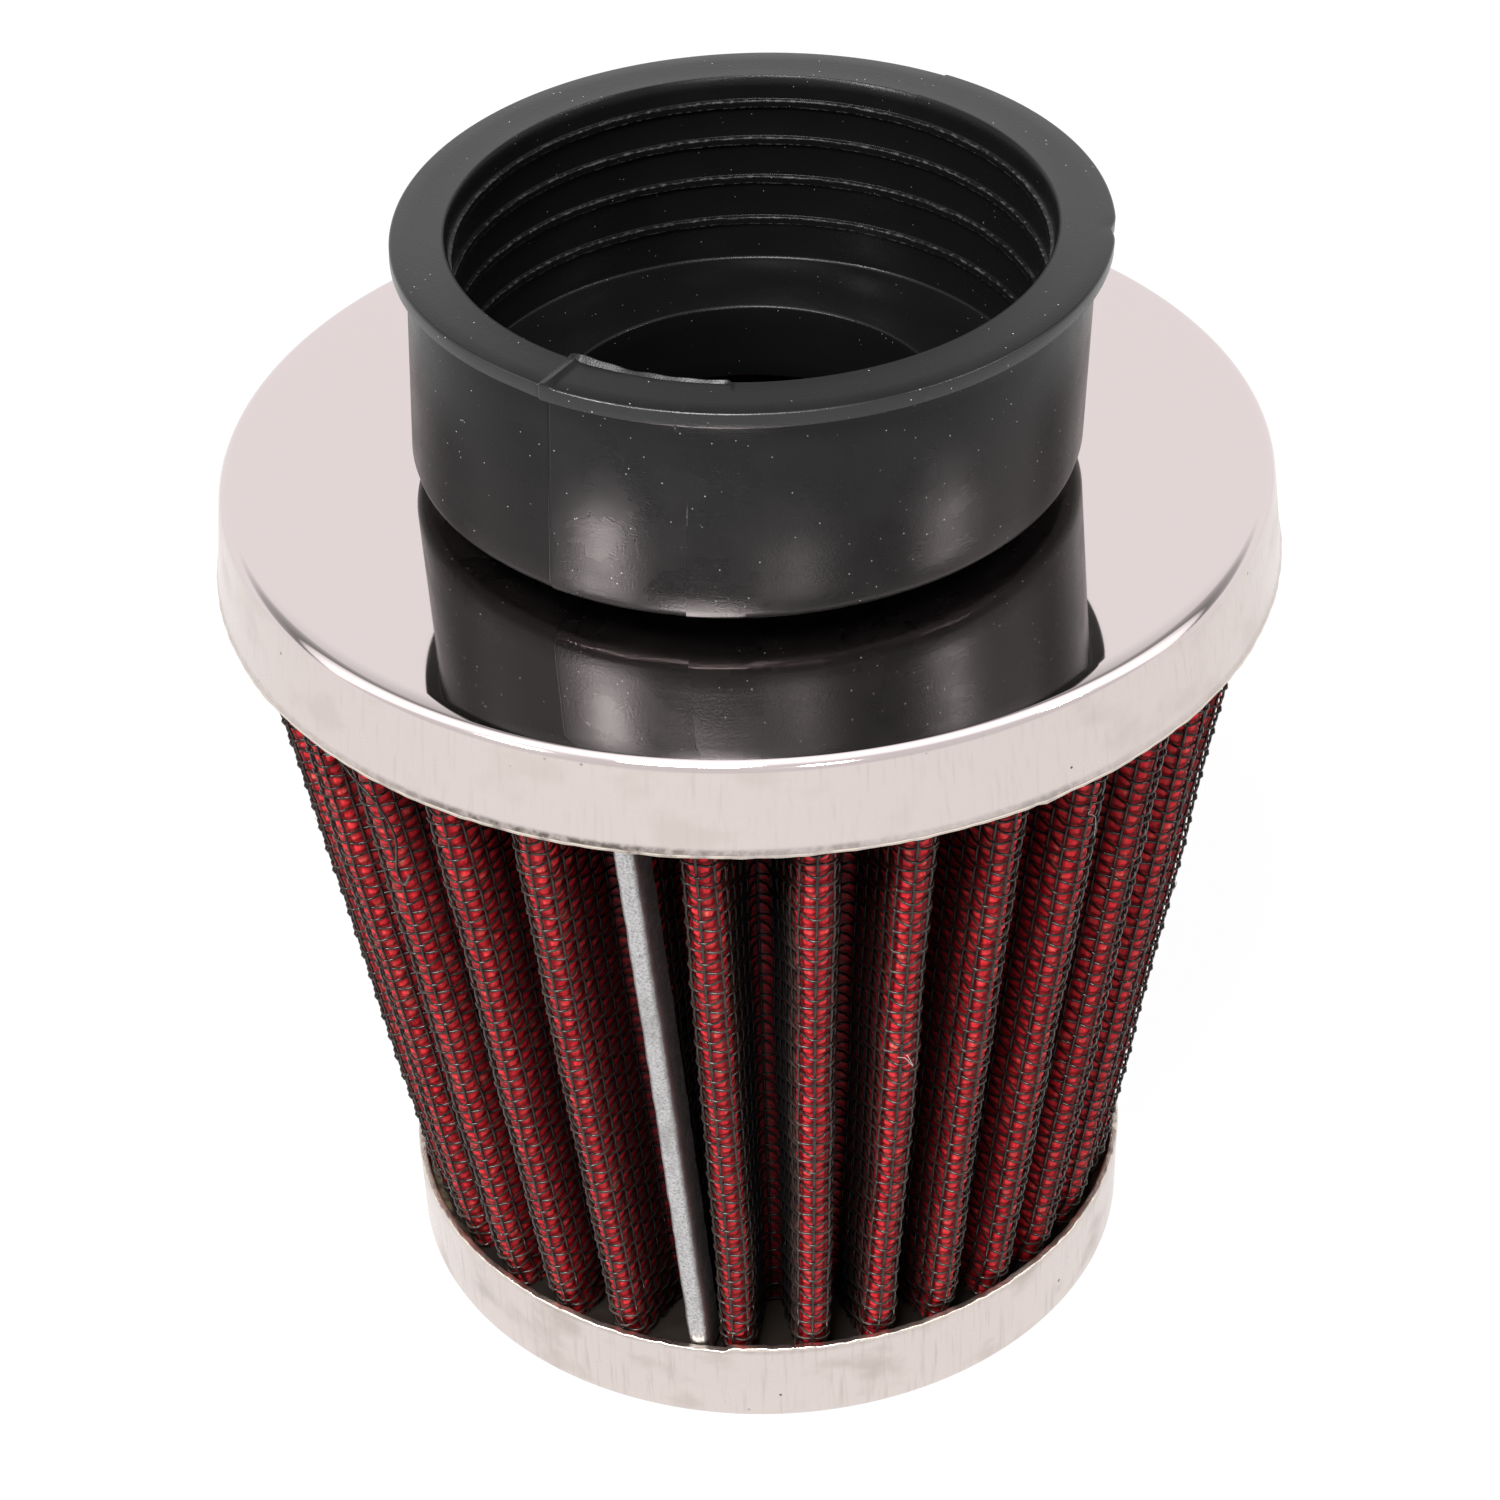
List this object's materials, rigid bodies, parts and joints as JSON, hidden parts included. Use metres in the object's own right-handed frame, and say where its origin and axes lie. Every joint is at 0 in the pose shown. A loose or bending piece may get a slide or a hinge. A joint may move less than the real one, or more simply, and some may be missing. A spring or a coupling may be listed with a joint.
{
  "type": "clamp-on pod air filter",
  "caption": "Tapered clamp-on pod air filter: rubber spigot neck, bright steel end caps and a pleated red gauze pack held between two wire meshes.",
  "frame": {"origin": "centre of the end cap's bottom face, on which the filter stands", "axes": "+Z along the filter's axis from the end cap to the rubber neck's mouth; -Y is the side nearest the seam clip, which lies 13 degrees round towards -X"},
  "size_m": [0.0808, 0.0808, 0.0923],
  "materials": {
    "black_rubber": "satin moulded rubber",
    "bright_steel": "polished, with fine smudges",
    "clip_steel": "satin",
    "red_gauze": "oiled cotton gauze",
    "coated_wire": "dark glossy coating",
    "potting": "cast resin"
  },
  "bodies": {
    "root": {"rubber_neck": "black_rubber", "base_cap": "bright_steel", "base_potting": "potting", "outer_wire_mesh": "coated_wire", "gauze_ply_1": "red_gauze", "gauze_ply_2": "red_gauze", "gauze_ply_3": "red_gauze", "gauze_ply_4": "red_gauze", "inner_wire_mesh": "coated_wire", "seam_clip": "clip_steel", "end_potting": "potting", "end_cap": "bright_steel"}
  },
  "joints": []
}
